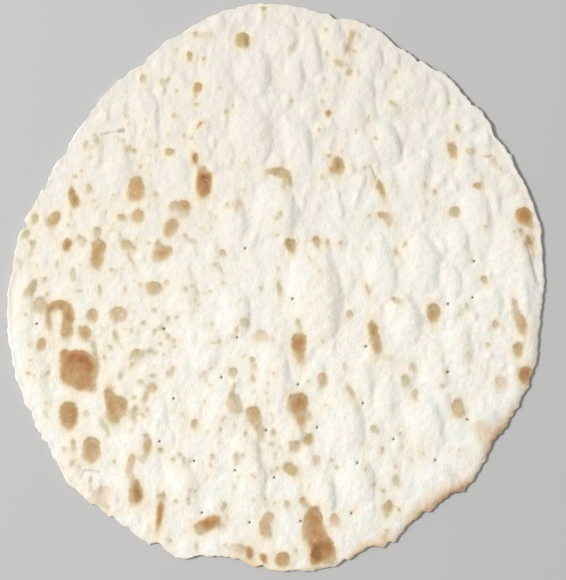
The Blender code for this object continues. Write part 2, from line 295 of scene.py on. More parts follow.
    (-27, -183, 11, 9, 0, 0.1, -0.7), (21.5, -171, 5, 15, 0, 0.4, 0.3), (27.5, -190, 7, 9, 0, 0.4, 0),
    (38, -189, 9, 9, 0, 0.4, 0), (-7.6, -167.5, 8, 14, 0, 0.64, 0.0), (-4.6, -160, 6.5, 8, -10, 0.42, 0.1),
    (-4, -171, 4, 9, 10, 0.4, -0.1), (-18, -186, 6, 10, 5, 1.05, -0.1),
    (-8, -189, 5.5, 8.5, 15, 1.05, -0.4), (5.2, -189.7, 11, 12, 0, 0.74, -0.1),
    (27, -164.5, 12.5, 24, 0, 0.84, -0.3), (23.5, -169.5, 8, 12, 0, 0.7, 0.2),
    (34.2, -182.8, 15.5, 18, 0, 0.95, -0.1), (29, -174.5, 14.5, 17, 8, 0.78, -0.6),
    (28.5, -185, 8, 15, 0, 2.1, 0.1), (41.7, -161.7, 7, 9.5, 0, 0.3, -0.8),
    (79.5, -152.5, 6.5, 9, -10, 0.76, 0.3), (77.5, -158.5, 3.5, 8, 0, 0.45, 0.5),
    (76, -141, 3.4, 5, 70, 0.3, 0.6), (75.6, -174.3, 3, 5.6, 0, 0.85, -0.1),
    # the right side, from the top down
    (127.4, 112, 3.5, 5, 15, 0.4, -0.1), (124, 96, 8, 12.5, 18, 0.6, -0.15),
    (137, 96, 5.5, 7, 60, 0.17, -0.2), (150, 92.6, 2.6, 4.4, 85, 0.7, 0), (151, 87.5, 4, 4, 0, 0.0, -1.0),
    (142, 72, 5.4, 8.5, 80, 0.5, 0.2), (124.6, 53.2, 9, 8, 0, 0.4, 0.4),
    (104, 71.4, 2.6, 4.6, -15, 0.3, 0.1), (74.6, 68, 4.5, 15, 22, 0.75, 0),
    (76.5, 50.4, 6, 11, 62, 0.6, 0.3), (79.5, 45.5, 4.5, 5, 30, 0.25, -0.4), (84, 24.5, 4, 8, 0, 0.3, 0.7),
    (173.7, 50.8, 13, 12.5, 0, 0.9, -0.4), (178.5, 45, 5, 9, 30, 0.52, -0.3),
    (177.5, 33, 5, 10.5, 22, 1.1, -0.4), (170.5, 66.5, 6, 6, 0, 0.0, -1.0), (146.6, 6, 5, 7, 15, 0.55, 0.3),
    (85, -7.4, 3.2, 5.5, 70, 0.35, -0.5), (64, -0.7, 3, 9, 22, 0.5, -0.1),
    (51.8, -18.5, 5, 7.5, 0, 0.4, 0.5), (110.6, -17.5, 9.5, 15.5, 0, 0.68, 0.6),
    (68.5, -30, 7, 15, 4, 0.92, 0.1), (71, -40, 7, 15, 8, 0.7, 0.3), (134, -13.3, 3.4, 6, 20, 0.25, 0.3),
    (154, -25, 5, 7, 20, 0.35, -0.3), (167.5, -13, 4, 13, 8, 0.25, 0.1),
    (171.5, -24.5, 8, 18, 18, 0.72, 0.1), (169.8, -43.7, 7.5, 12.5, 0, 0.72, 0.4),
    (148.4, -40, 3, 4.5, 0, 0.25, 0.2), (134.4, -48.3, 5, 9, 15, 0.1, 0.4),
    (175, -61, 11, 14, 0, 0.88, -0.2), (157.4, -66.5, 8.5, 11.5, 10, 0.15, -0.7),
    (143.6, -97.9, 8, 11, 30, 0.12, -0.3), (96.6, -55.6, 5, 7, 30, 0.2, 0),
    (91.3, -64.7, 6, 10.5, 10, 0.4, 0.9), (97.3, -73.8, 4.5, 6.5, 0, 0.3, 0.4),
    (117.3, -68.6, 2.8, 3.6, 0, 0.3, 0.3), (128, -84.3, 9.5, 15, 8, 0.54, -0.15),
    (52.8, -72, 3.6, 11.5, 25, 0.45, -0.2), (70.4, -98.7, 5.5, 8.5, 60, 0.25, 0.5),
    (75, -113.4, 3.6, 5.6, 0, 0.35, -0.3), (84.4, -134.4, 5.5, 8.5, 20, 0.35, 0.4),
    (49.4, -56, 4, 6, 30, 0.15, 0.6), (80.8, -49.7, 3, 5, 10, 0.15, 0.2),
]

SPOT_SQUARENESS = 2.25      # 2 makes plain ovals, more makes them fuller in the corners
SPOT_TAPER = 0.15           # the most that a spot narrows towards one end, as a share of its width
SPOT_MERGE = 1.1            # how softly spots that touch run together
SPOT_MIXING = 1.8           # how far the scorch, hue and side of neighbouring spots mix
SPOT_LIMIT = 30             # depths beyond this, either way, count as this

# Pale marks inside the spots, partly flakes that broke the skin and partly painted highlight, glints on the
# glossy scorched skin: x, y, size
FLAKES_AND_GLINTS = [
    (-148, -30, 3.0), (-153.5, -23, 3.0), (-145, -94, 3.0), (-142.5, -89, 2.2), (-16, -90, 3.0),
    (-13, -94, 2.2), (-108, -86, 3.5), (-87, -70, 2.4), (-97, -47, 2.4), (-48.5, 76, 2.4), (-26, -82, 3.5),
    (17, -88, 2.4), (-109, -19, 7), (-123, 31.5, 3.5), (-97.5, 66, 3.0), (-79, 22, 2.6), (44, 82, 2.6),
    (-7, -170, 3.0), (27, -176, 2.6),
]

# Brown bloom along the edge, and on the rolled edge at the lower right also painted shade of the edge turning
# away from the light: bearing, half-width in degrees, reach inwards, strength
RIM_BLOOMS_AND_SHADE = [
    (-38, 30, 3.5, 0.35),
    (-47, 4, 8, 0.35),
    (-35, 3.5, 18, 0.6),
    (-30, 4, 9, 0.3),
    (-51, 5, 11, 0.55),
    (-59, 5, 10, 0.55),
    (-69, 4, 8, 0.6),
    (-74, 4, 6, 0.45),
    (-85, 5, 4, 0.4),
    (-93, 5, 3.5, 0.4),
    (-24, 3, 6, 0.12),
    (-5, 14, 2.0, 0.25),
    (-97, 4, 8, 0.35),
    (-130, 14, 2.5, 0.35),
    (-107, 12, 2, 0.3),
    (-150, 14, 1.6, 0.25),
]

# Docking holes: x, y
DOCKING_HOLES = [
    (-77.6, -27.9), (-26.6, -33.9), (-37.6, -61.9), (15.9, -66.9), (-6.2, -98.9), (29.4, -96.9),
    (-56.6, -120.4), (-28.1, -126.9), (-0.6, -131.9), (63.4, -40.2), (61.4, -79.9), (120.7, -58.2),
    (134.4, -91.4), (82.8, -105.2), (57.4, -121.6), (112, -119.9), (-51.3, -156.6), (-17.9, -163.4),
    (17.8, -162.4), (53.2, -157.1), (-80.8, -106.7), (-20.9, 28.4), (12.1, -7), (139, 19.3), (138.1, -6.1),
    (120.9, -10.6), (-166.6, -24.4), (-71, -76.6),
]

# Thin creases: x, y of each end, width, depth
CREASES = [
    (-121.0, 107.9, -116.0, 109.4, 2.4, 0.5),
    (-116.0, 109.4, -108.8, 110.3, 2.2, 0.35),
    (-108.8, 110.3, -105.8, 110.8, 3.2, 0.8),
    (-136.1, -133, -133.6, -126.5, 2.6, 0.5),
    (-133.6, -126.5, -122.6, -128, 2.6, 0.5),
    (-18.1, -8, -17.6, -26, 2.2, 0.4),
    (14.9, 39, 16.9, 32, 2.6, 0.35),
    (66.4, 86, 70.4, 77, 2.4, 0.6),
    (97.4, 52, 100.4, 45, 3.4, 0.3),
    (-4.4, 142.9, -10.0, 133.9, 1.8, 0.3),
    (-1.8, 141.0, -6.6, 135.0, 1.8, 0.25),
    (175.4, 32, 183.4, 3, 3.0, 0.6),
    (183.4, 3, 187.4, -7, 2.4, 0.4),
    (103.4, -18, 106.4, -26, 1.6, 0.4),
    (98.4, 63, 106.4, 79, 1.8, 0.3),
]

HOLE_WIDTH = 1.1            # half-width of a docking hole
HOLE_DEPTH = 0.9
CREASE_DEPTH = 0.5          # depth of a crease whose row says 1

# Small flecks, most of them towards the left
FLECK_COUNT = 240
FLECK_SIZE = (1.2, 2.8)
FLECK_GAP = 3               # how far they keep from the larger spots
LARGER_SPOT = 4.5           # what counts as one of those, across its narrower way

# Scorches of the underside, drawn by seed
UNDER_SCORCHES = 170


# ---------------------------------------------------------------- the mesh

GRID_CELLS = 268            # cells along a side of the top's square grid, even
RIM_RINGS = 5               # rings of the top that lie on the rounded shoulder
RIM_CROWDING = 1.5          # over 1, those rings crowd towards the edge
SHOULDER = 7.0              # how far in from the edge the top starts to round over
SHOULDER_TIGHT = 3.2        # the same where the edge is crisp, at the left and the top
ROLLED_MIDDLE = -38         # bearing of the middle of the rolled part of the edge
ROLLED_SPREAD = (30, 58)    # degrees from there to where the edge starts to turn crisp, and to where it is
RIM_HEIGHT = 1.75           # height of the widest point
TEAR_FADE = 5.0             # how far in the torn edge still moves the mesh, fading out as it goes
HOLE_PULL = 5.0             # reach of the finer mesh round a docking hole
HOLE_CROWDING = 0.66        # how much of its distance to a hole a point loses close by
LATTICE = 64                # values along a side of the noise's lattice, after which it repeats

# The rest of the edge, from the top's last ring round to the underside: inset from the outline, height
RIM_TURNS = [(0.08, 1.5), (0.2, 1.2), (0.45, 0.85), (0.9, 0.5), (1.7, 0.22), (2.8, 0.05)]
FOOT_INSET = 4.2            # how far inside the outline the underside's own grid starts


def disc_from_square(s, t):
    """Bearing and ring of each grid point: the nested squares of the grid become nested circles. On each
    side of a square the angle runs evenly, 45 degrees either way from the side's middle."""
    wide = np.abs(s) >= np.abs(t)
    reach = np.where(wide, s, t)
    turn = np.pi / 4 * np.where(wide, t, s) / np.where(reach == 0, 1, reach)
    angle = np.where(wide, turn, np.pi / 2 - turn)
    return np.arctan2(reach * np.sin(angle), reach * np.cos(angle)), np.abs(reach)


def degrees_off(bearing, middle):
    """How far each bearing is from a middle, in degrees from -180 to 180."""
    return (np.degrees(bearing) - middle + 180) % 360 - 180


def bell(distance, half_width):
    """A smooth hump, 1 in the middle, that falls off as the square of the distance over its half-width."""
    return np.exp(-(distance / half_width) ** 2)


def smooth(value, low, high):
    """0 below low, 1 above high, and a soft S between."""
    share = np.clip((value - low) / (high - low), 0, 1)
    return share * share * (3 - 2 * share)


def soft_noise(x, y, span_x, span_y, seed):
    """Smooth random heights from -1 to 1: seeded values at the crossings of a lattice, eased between."""
    table = np.random.default_rng(seed).uniform(-1, 1, (LATTICE, LATTICE))
    u, v = x / span_x, y / span_y
    i, j = np.floor(u).astype(int), np.floor(v).astype(int)
    ease_u, ease_v = smooth(u - i, 0, 1), smooth(v - j, 0, 1)
    low, high = j % LATTICE, (j + 1) % LATTICE
    left, right = i % LATTICE, (i + 1) % LATTICE
    near = table[left, low] * (1 - ease_v) + table[left, high] * ease_v
    far = table[right, low] * (1 - ease_v) + table[right, high] * ease_v
    return near * (1 - ease_u) + far * ease_u


def outline_radius(bearing):
    """Radius of the oval at each bearing, with the lobes and hollows of the hand-stretched edge."""
    across, along = WIDTH / 2, LENGTH / 2
    radius = across * along / np.hypot(along * np.cos(bearing), across * np.sin(bearing))
    for middle, spread, out in OUTLINE_LOBES:
        radius = radius + out * bell(degrees_off(bearing, middle), spread)
    return radius


def edge_inset(x, y):
    """Bearing of each point, and how far it lies inside the smooth outline."""
    bearing = np.arctan2(y, x)
    return bearing, outline_radius(bearing) - np.hypot(x, y)


def from_polar(bearing, radius):
    """Plan position of each point from its bearing and radius."""
    return radius * np.cos(bearing), radius * np.sin(bearing)


def torn_edge(bearing):
    """How far the torn edge stands out from the smooth outline: named nicks, sharp steps that run out over
    two degrees either way, and seeded teeth that are largest at the lower left."""
    out = np.zeros_like(bearing)
    for middle, spread, step in EDGE_NICKS:
        out = out + step * bell(degrees_off(bearing, middle), spread)
    for middle, step in EDGE_STEPS:
        off = degrees_off(bearing, middle)
        out = out + step / 2 * np.tanh(off / 0.2) * np.exp(-np.abs(off) / 2)
    along = np.degrees(bearing) + 360
    rough = 0.45 + 0.8 * bell(degrees_off(bearing, 230), 32) + 0.5 * bell(degrees_off(bearing, 315), 32)
    rough = rough + 0.25 * bell(degrees_off(bearing, 55), 35)
    level = np.full_like(along, 0.5)
    teeth = soft_noise(along, level, 1.5, 1, 41) + 0.8 * soft_noise(along, level, 0.75, 1, 42)
    return out + 1.1 * rough * np.sign(teeth) * np.abs(teeth) ** 0.7


def crisp_edge(bearing):
    """1 where the edge is thin and crisp, and 0 where it is rolled, at the lower right."""
    return smooth(np.abs(degrees_off(bearing, ROLLED_MIDDLE)), *ROLLED_SPREAD)


def shoulder_width(bearing):
    """How far in from the edge the top starts to round over."""
    return SHOULDER + (SHOULDER_TIGHT - SHOULDER) * crisp_edge(bearing)


def top_plan(s, t):
    """Plan position of the top's grid points. The outermost rings crowd into the shoulder, the others share
    the rest of the way in evenly, and the torn edge fades out over the first millimetres."""
    bearing, ring = disc_from_square(s, t)
    half = GRID_CELLS / 2
    steps_in = (1 - ring) * half
    shoulder = shoulder_width(bearing) * (np.clip(steps_in, 0, RIM_RINGS) / RIM_RINGS) ** RIM_CROWDING
    way_in = np.clip((steps_in - RIM_RINGS) / (half - RIM_RINGS), 0, 1)
    smooth_radius = (outline_radius(bearing) - shoulder) * (1 - way_in)
    inset = outline_radius(bearing) - smooth_radius
    return from_polar(bearing, smooth_radius + torn_edge(bearing) * np.exp(-inset / TEAR_FADE))


def drawn_to_holes(x, y):
    """Draws the mesh in towards each docking hole, where it has to be finer: the distance to a hole shrinks
    to a third close by, and keeps its value at the edge of the reach."""
    for hole_x, hole_y in DOCKING_HOLES:
        dx, dy = x - hole_x - MARKS_CENTRE[0], y - hole_y - MARKS_CENTRE[1]
        near = np.clip(1 - (dx ** 2 + dy ** 2) / HOLE_PULL ** 2, 0, 1) ** 2
        x, y = x - HOLE_CROWDING * near * dx, y - HOLE_CROWDING * near * dy
    return x, y


def from_marks_centre(x, y):
    """Place measured from the point that the tables of blisters, creases, holes and spots start from."""
    return x - MARKS_CENTRE[0], y - MARKS_CENTRE[1]


def oval_place(x, y, middle_x, middle_y, width, length, lean):
    """Place within a leaning oval: across and along it, each 0 in the middle and 1 at its edge."""
    turn = math.radians(lean)
    dx, dy = x - middle_x, y - middle_y
    across = (dx * math.cos(turn) + dy * math.sin(turn)) / (width / 2)
    along = (dy * math.cos(turn) - dx * math.sin(turn)) / (length / 2)
    return across, along


def blister_height(x, y, row):
    """Height of one blister. Along it the dome falls off as 1 minus the square of the way out. Across it
    the crest lies nearer the right side, so that the left side rises slowly and the right side drops."""
    middle_x, middle_y, width, length, height, lean = row
    spread_width, spread_length = width * BLISTER_SPREAD, length * BLISTER_SPREAD
    across, along = oval_place(x, y, middle_x, middle_y, spread_width, spread_length, lean)
    chord = np.sqrt(np.clip(1 - along ** 2, 1e-9, 1))
    offset = across / chord - CREST
    offset = np.where(offset > 0, offset / (1 - CREST), offset / (1 + CREST))
    return height * (chord ** 2 * np.clip(1 - offset ** 2, 0, 1)) ** DOME_POWER


def small_blisters():
    """The seeded small blisters. Each is the best of several random places, the one farthest from the
    others, so that they lie side by side like cobbles, finer towards the upper right. Distances along the
    bread count for less, because the blisters are drawn out that way."""
    draw = np.random.default_rng(11)
    rows, placed = [], np.empty((0, 2))
    for _ in range(SMALL_COUNT):
        bearing = draw.uniform(-np.pi, np.pi, SMALL_TRIES)
        reach = np.sqrt(draw.uniform(0, SMALL_REACH, SMALL_TRIES)) * outline_radius(bearing)
        spots = np.column_stack(from_polar(bearing, reach))
        fine = smooth((spots[:, 0] + spots[:, 1]) / 200, -0.6, 1.2)
        gaps = np.full(SMALL_TRIES, 1e3)
        if len(placed):
            apart = (spots[:, None] - placed[None]) / (1.0, 1.7)
            gaps = np.hypot(apart[..., 0], apart[..., 1]).min(axis=1)
        best = int(np.argmax(gaps * (1 + 0.8 * fine)))
        placed = np.vstack([placed, spots[best]])
        shrink = 1 - 0.3 * fine[best]
        width = draw.uniform(*SMALL_WIDTH) * shrink
        height = draw.uniform(*SMALL_HEIGHT) * (1 + 0.5 * fine[best])
        length = width * draw.uniform(*SMALL_STRETCH)
        rows.append((*spots[best], width, length, height, draw.uniform(*SMALL_LEAN)))
    return rows


def raised(x, y):
    """Height of all blisters together, blended softly where they meet. Their outlines wander a little."""
    x = (x + 1.3 * soft_noise(x, y, 16, 23, 24) + 1.1 * soft_noise(x, y, 8, 11, 21)
         + 0.5 * soft_noise(x, y, 3.6, 5, 22))
    y = y + 2.0 * soft_noise(x, y, 18, 24, 25) + 1.6 * soft_noise(x, y, 9, 13, 23)
    total = sum(blister_height(x, y, row) ** BLEND_POWER for row in BLISTERS + small_blisters())
    return RAISE * total ** (1 / BLEND_POWER)


def edge_ridge(bearing, inset):
    """The long roll inside the right-hand edge, which swings away from it towards the roll's upper end."""
    low, high = RIDGE_ENDS
    along = np.clip((degrees_off(bearing, 0) - low) / (high - low), 0, 1)
    middle = RIDGE_INSET[0] + (RIDGE_INSET[1] - RIDGE_INSET[0]) * along
    span = smooth(degrees_off(bearing, low), -6, 3) * smooth(-degrees_off(bearing, high), -6, 3)
    return RIDGE_HEIGHT * span * bell(inset - middle, 5)


def crease_share(x, y):
    """How deep each point lies in a crease, as a share: a soft groove along each line from end to end."""
    depth = np.zeros_like(x)
    for x0, y0, x1, y1, width, deep in CREASES:
        run = (x1 - x0) ** 2 + (y1 - y0) ** 2
        along = np.clip(((x - x0) * (x1 - x0) + (y - y0) * (y1 - y0)) / run, 0, 1)
        away = np.hypot(x - x0 - along * (x1 - x0), y - y0 - along * (y1 - y0))
        depth = np.maximum(depth, deep * bell(away, width / 2))
    return depth


def hole_share(x, y):
    """1 in the middle of a docking hole and 0 from about a millimetre away."""
    share = np.zeros_like(x)
    for hole_x, hole_y in DOCKING_HOLES:
        share = np.maximum(share, bell(np.hypot(x - hole_x, y - hole_y), HOLE_WIDTH))
    return share


def top_height(x, y):
    """Height of the top inside its shoulder: the crowned, slowly swelling sheet, its blisters, fine lumps
    drawn out along the bread, creases and docking holes."""
    bearing, inset = edge_inset(x, y)
    x, y = from_marks_centre(x, y)
    swell = 0.4 * soft_noise(x, y, 46, 74, 5) + 0.2 * soft_noise(x, y, 19, 38, 6)
    lumps = 0.26 * soft_noise(x - 0.1 * y, y, 7, 6, 7) + 0.2 * soft_noise(x, y, 3.6, 3.0, 8)
    lumps = lumps + 0.29 * (1 - np.abs(soft_noise(x - 0.25 * y, y, 9, 14, 9))) ** 3
    crown = CROWN * bell(np.hypot(x, y), WIDTH / 3)
    height = SHEET + crown + swell + lumps + raised(x, y) + edge_ridge(bearing, inset)
    return height - CREASE_DEPTH * crease_share(x, y) - HOLE_DEPTH * hole_share(x, y)


def shouldered(bearing, inset, height):
    """Height near the edge: a quarter oval from the widest point up to the top, squarer where the edge is
    crisp. The crisp edge keeps a thin lip, with a shallow dip behind it here and there."""
    into = np.clip(inset / shoulder_width(bearing), 0, 1)
    fullness = 2 + 2 * crisp_edge(bearing)
    rise = (1 - (1 - into) ** fullness) ** (1 / fullness)
    ragged = 0.5 + 0.5 * soft_noise(np.degrees(bearing) + 360, inset, 2.6, 5, 31)
    dip = 0.3 * crisp_edge(bearing) * ragged * bell(inset - 3.6, 2.0)
    return RIM_HEIGHT + (height - RIM_HEIGHT) * rise - dip * rise


def rim_ring(bearing, inset, height):
    """One ring of the edge below its widest point, following the torn outline."""
    radius = outline_radius(bearing) + torn_edge(bearing) * math.exp(-inset / TEAR_FADE) - inset
    ripple = 1 + 0.25 * soft_noise(np.degrees(bearing) + 360, np.full_like(bearing, inset), 1.3, 1, 51)
    return np.column_stack([*from_polar(bearing, radius), height * ripple])


def under_height(x, y):
    """Height of the underside: it lies on the floor, with shallow seeded hollows away from the edge."""
    _, inset = edge_inset(x, y)
    hollow = soft_noise(x, y, 17, 26, 61) + 0.5 * soft_noise(x, y, 7, 9, 62)
    return 0.6 * np.clip(hollow - 0.15, 0, 1) * smooth(inset, 3, 16)


def square_grid(cells):
    """Grid coordinates from -1 to 1, the points' numbers, and the border's points, anticlockwise."""
    line = np.linspace(-1, 1, cells + 1)
    s, t = (part.ravel() for part in np.meshgrid(line, line, indexing="xy"))
    number = np.arange((cells + 1) ** 2).reshape(cells + 1, cells + 1)
    border = np.concatenate([number[0, :-1], number[:-1, -1], number[-1, :0:-1], number[:0:-1, 0]])
    return s, t, number, border


def grid_faces(number):
    """The four corners of every cell, anticlockwise seen from above."""
    corners = [number[:-1, :-1], number[:-1, 1:], number[1:, 1:], number[1:, :-1]]
    return np.stack([corner.ravel() for corner in corners], axis=1)


def bread_surface():
    """The bread's points in millimetres, its four-sided and its three-sided faces, and how many points are
    the top's. A fine grid makes the top, rings carry its border round the edge, a row of triangles halves
    their number, and a grid half as fine closes the underside."""
    s, t, number, border = square_grid(GRID_CELLS)
    x, y = drawn_to_holes(*top_plan(s, t))
    bearing = np.arctan2(y, x)
    inset = outline_radius(bearing) + torn_edge(bearing) * 0.5 - np.hypot(x, y)
    top_z = np.minimum(shouldered(bearing, np.maximum(inset, 0), top_height(x, y)), TALLEST)
    top_z[border] = RIM_HEIGHT
    points = [np.column_stack([x, y, top_z])]
    quads = [grid_faces(number)]

    edge_bearing = disc_from_square(s[border], t[border])[0]
    ring, first = border, len(x)
    for turn_inset, turn_height in RIM_TURNS:
        points.append(rim_ring(edge_bearing, turn_inset, turn_height))
        below = first + np.arange(len(border))
        quads.append(np.stack([ring, below, np.roll(below, -1), np.roll(ring, -1)], axis=1))
        ring, first = below, first + len(border)

    s, t, number, border = square_grid(GRID_CELLS // 2)
    under_bearing, under_ring = disc_from_square(s, t)
    x, y = from_polar(under_bearing, (outline_radius(under_bearing) - FOOT_INSET) * under_ring)
    points.append(np.column_stack([x, y, under_height(x, y)]))
    foot = first + border
    early, late, beyond = ring[0::2], ring[1::2], np.roll(ring, -2)[0::2]
    triangles = np.concatenate([
        np.stack([early, foot, late], axis=1),
        np.stack([late, foot, np.roll(foot, -1)], axis=1),
        np.stack([late, np.roll(foot, -1), beyond], axis=1),
    ])
    quads.append(first + grid_faces(number)[:, ::-1])
    return np.concatenate(points), np.concatenate(quads), triangles, len(points[0])


def mesh_from_arrays(name, points, quads, triangles):
    """A smooth-shaded mesh from whole arrays of points and faces."""
    mesh = bpy.data.meshes.new(name)
    corners = np.concatenate([quads.ravel(), triangles.ravel()])
    sizes = np.concatenate([np.full(len(quads), 4), np.full(len(triangles), 3)])
    starts = np.concatenate([[0], np.cumsum(sizes)[:-1]])
    mesh.vertices.add(len(points))
    mesh.vertices.foreach_set("co", points.astype(np.float32).ravel())
    mesh.loops.add(len(corners))
    mesh.loops.foreach_set("vertex_index", corners.astype(np.int32))
    mesh.polygons.add(len(sizes))
    mesh.polygons.foreach_set("loop_start", starts.astype(np.int32))
    mesh.update(calc_edges=True)
    mesh.validate()
    mesh.shade_smooth()
    return mesh


# ---------------------------------------------------------------- the baking marks

def scorch_marks(x, y, rows):
    """Four marks of the scorched spots at each point. Depth is the distance inside the nearest spot's edge
    in millimetres, less than 0 outside, and spots that touch run softly together. Scorch, hue and side are
    the spots' own, weighted by nearness. Side runs from -1 at a spot's bottom to 1 at its top."""
    x, y = x + 0.6 * soft_noise(x, y, 7, 8, 71), y + 0.6 * soft_noise(x, y, 8, 7, 72)
    tapers = np.random.default_rng(12).uniform(-SPOT_TAPER, SPOT_TAPER, len(rows))
    depth, total = np.full_like(x, 1e-30), np.full_like(x, 1e-30)
    scorch, hue, side = np.zeros_like(x), np.zeros_like(x), np.zeros_like(x)
    for (middle_x, middle_y, width, length, lean, deep, tint), taper in zip(rows, tapers):
        across, along = oval_place(x, y, middle_x, middle_y, width, length, lean)
        narrowed = across * (1 + taper * np.clip(along, -1.3, 1.3))
        powers = np.abs(narrowed) ** SPOT_SQUARENESS + np.abs(along) ** SPOT_SQUARENESS
        inside = (1 - powers ** (1 / SPOT_SQUARENESS)) * min(width, length) / 2
        inside = np.clip(inside, -SPOT_LIMIT, SPOT_LIMIT)
        depth += np.exp(inside / SPOT_MERGE)
        weight = np.exp(inside / SPOT_MIXING)
        total += weight
        scorch += weight * deep
        hue += weight * tint
        side += weight * np.clip(along + 0.15 * across, -1, 1)
    return SPOT_MERGE * np.log(depth), scorch / total, hue / total, side / total


def fleck_rows():
    """Seeded small flecks between the spots, clear of the larger ones, most of them in the left half."""
    draw = np.random.default_rng(3)
    large = np.array([row[:4] for row in SCORCHES if min(row[2:4]) > LARGER_SPOT])
    rows = []
    while len(rows) < FLECK_COUNT:
        bearing = draw.uniform(-np.pi, np.pi)
        reach = math.sqrt(draw.uniform(0, 0.92)) * float(outline_radius(np.array([bearing]))[0])
        x, y = reach * math.cos(bearing), reach * math.sin(bearing)
        if draw.uniform() > 0.95 - 0.8 * float(smooth(x + 0.4 * y, -130, 60)):
            continue
        if np.any(np.hypot(large[:, 0] - x, large[:, 1] - y) < large[:, 2:].max(axis=1) / 2 + FLECK_GAP):
            continue
        width = draw.uniform(*FLECK_SIZE)
        length = width * draw.uniform(1, 2)
        lean, deep, tint = draw.uniform(-30, 30), draw.uniform(0.2, 0.4), draw.uniform(0.3, 1)
        rows.append((x, y, width, length, lean, deep, tint))
    return rows


def under_rows():
    """Seeded spots of the underside, which lay on the hot stones."""
    draw = np.random.default_rng(8)
    rows = []
    for _ in range(UNDER_SCORCHES):
        bearing = draw.uniform(-np.pi, np.pi)
        reach = math.sqrt(draw.uniform(0, 0.95)) * (WIDTH / 2)
        width = draw.uniform(3, 13)
        length = width * draw.uniform(1, 1.8)
        x, y = reach * math.cos(bearing), reach * math.sin(bearing)
        lean, deep, tint = draw.uniform(-90, 90), draw.uniform(0.2, 0.9), draw.uniform(-0.5, 0.6)
        rows.append((x, y, width, length, lean, deep, tint))
    return rows


def rim_bloom(bearing, inset):
    """Strength of the brown bloom along the edge, which is painted shade as well on the rolled lower-right
    edge: humps along the bearing that fade away inwards.
    """
    bloom_and_shade = np.zeros_like(bearing)
    for middle, spread, reach, strength in RIM_BLOOMS_AND_SHADE:
        hump = strength * bell(degrees_off(bearing, middle), spread)
        bloom_and_shade = bloom_and_shade + hump * np.exp(-(inset / reach) ** 1.5)
    return np.clip(bloom_and_shade, 0, 1)


def flake_and_glint_share(x, y):
    """Share of pale flake and painted glint at each point: a hump for each one, 1 at the most."""
    humps = [bell(np.hypot(x - pale_x, y - pale_y), size / 2) for pale_x, pale_y, size in FLAKES_AND_GLINTS]
    return np.minimum(sum(humps), 1)


def paint(mesh, name, values):
    """Stores a number for every point of the mesh, for the material to read by its name."""
    layer = mesh.attributes.new(name, "FLOAT", "POINT")
    layer.data.foreach_set("value", np.asarray(values, np.float32))


def paint_marks(mesh, points, top_count):
    """Gives each point its marks: the four marks of the spots, the bloom of the rim and its painted shade,
    pale flakes and painted glints, docking holes, creases, and how near the torn edge is. The last points are
    the underside's own grid, which has seeded spots instead."""
    number = np.arange(len(points))
    on_top = number < len(points) - (GRID_CELLS // 2 + 1) ** 2
    x, y = from_marks_centre(points[:, 0], points[:, 1])
    top = scorch_marks(x[on_top], y[on_top], SCORCHES + fleck_rows())
    under = scorch_marks(x[~on_top], y[~on_top], under_rows())
    for name, upper, lower in zip(("scorch_depth", "scorch", "scorch_hue", "scorch_side"), top, under):
        paint(mesh, name, np.concatenate([upper, lower]))
    bearing, inset = edge_inset(points[:, 0], points[:, 1])
    inset = np.maximum(inset, 0)
    paint(mesh, "rim_bloom", rim_bloom(bearing, inset))
    paint(mesh, "flake", np.where(on_top, flake_and_glint_share(x, y), 0))
    paint(mesh, "docking", np.where(number < top_count, hole_share(x, y), 0))
    paint(mesh, "crease", np.where(on_top, crease_share(x, y), 0))
    paint(mesh, "torn", np.exp(-inset / 3))


# ---------------------------------------------------------------- materials

class Field:
    """A number or a colour that changes over a surface: a shader socket with Python's arithmetic."""

    def __init__(self, finish, socket):
        self.finish = finish
        self.socket = socket

    def math(self, operation, *values):
        inputs = dict(enumerate(values))
        return self.finish.node("ShaderNodeMath", {"operation": operation}, inputs)

    def __add__(self, other):
        return self.math("ADD", self, other)

    def __sub__(self, other):
        return self.math("SUBTRACT", self, other)

    def __mul__(self, other):
        return self.math("MULTIPLY", self, other)

    def __rsub__(self, other):
        return self.math("SUBTRACT", other, self)


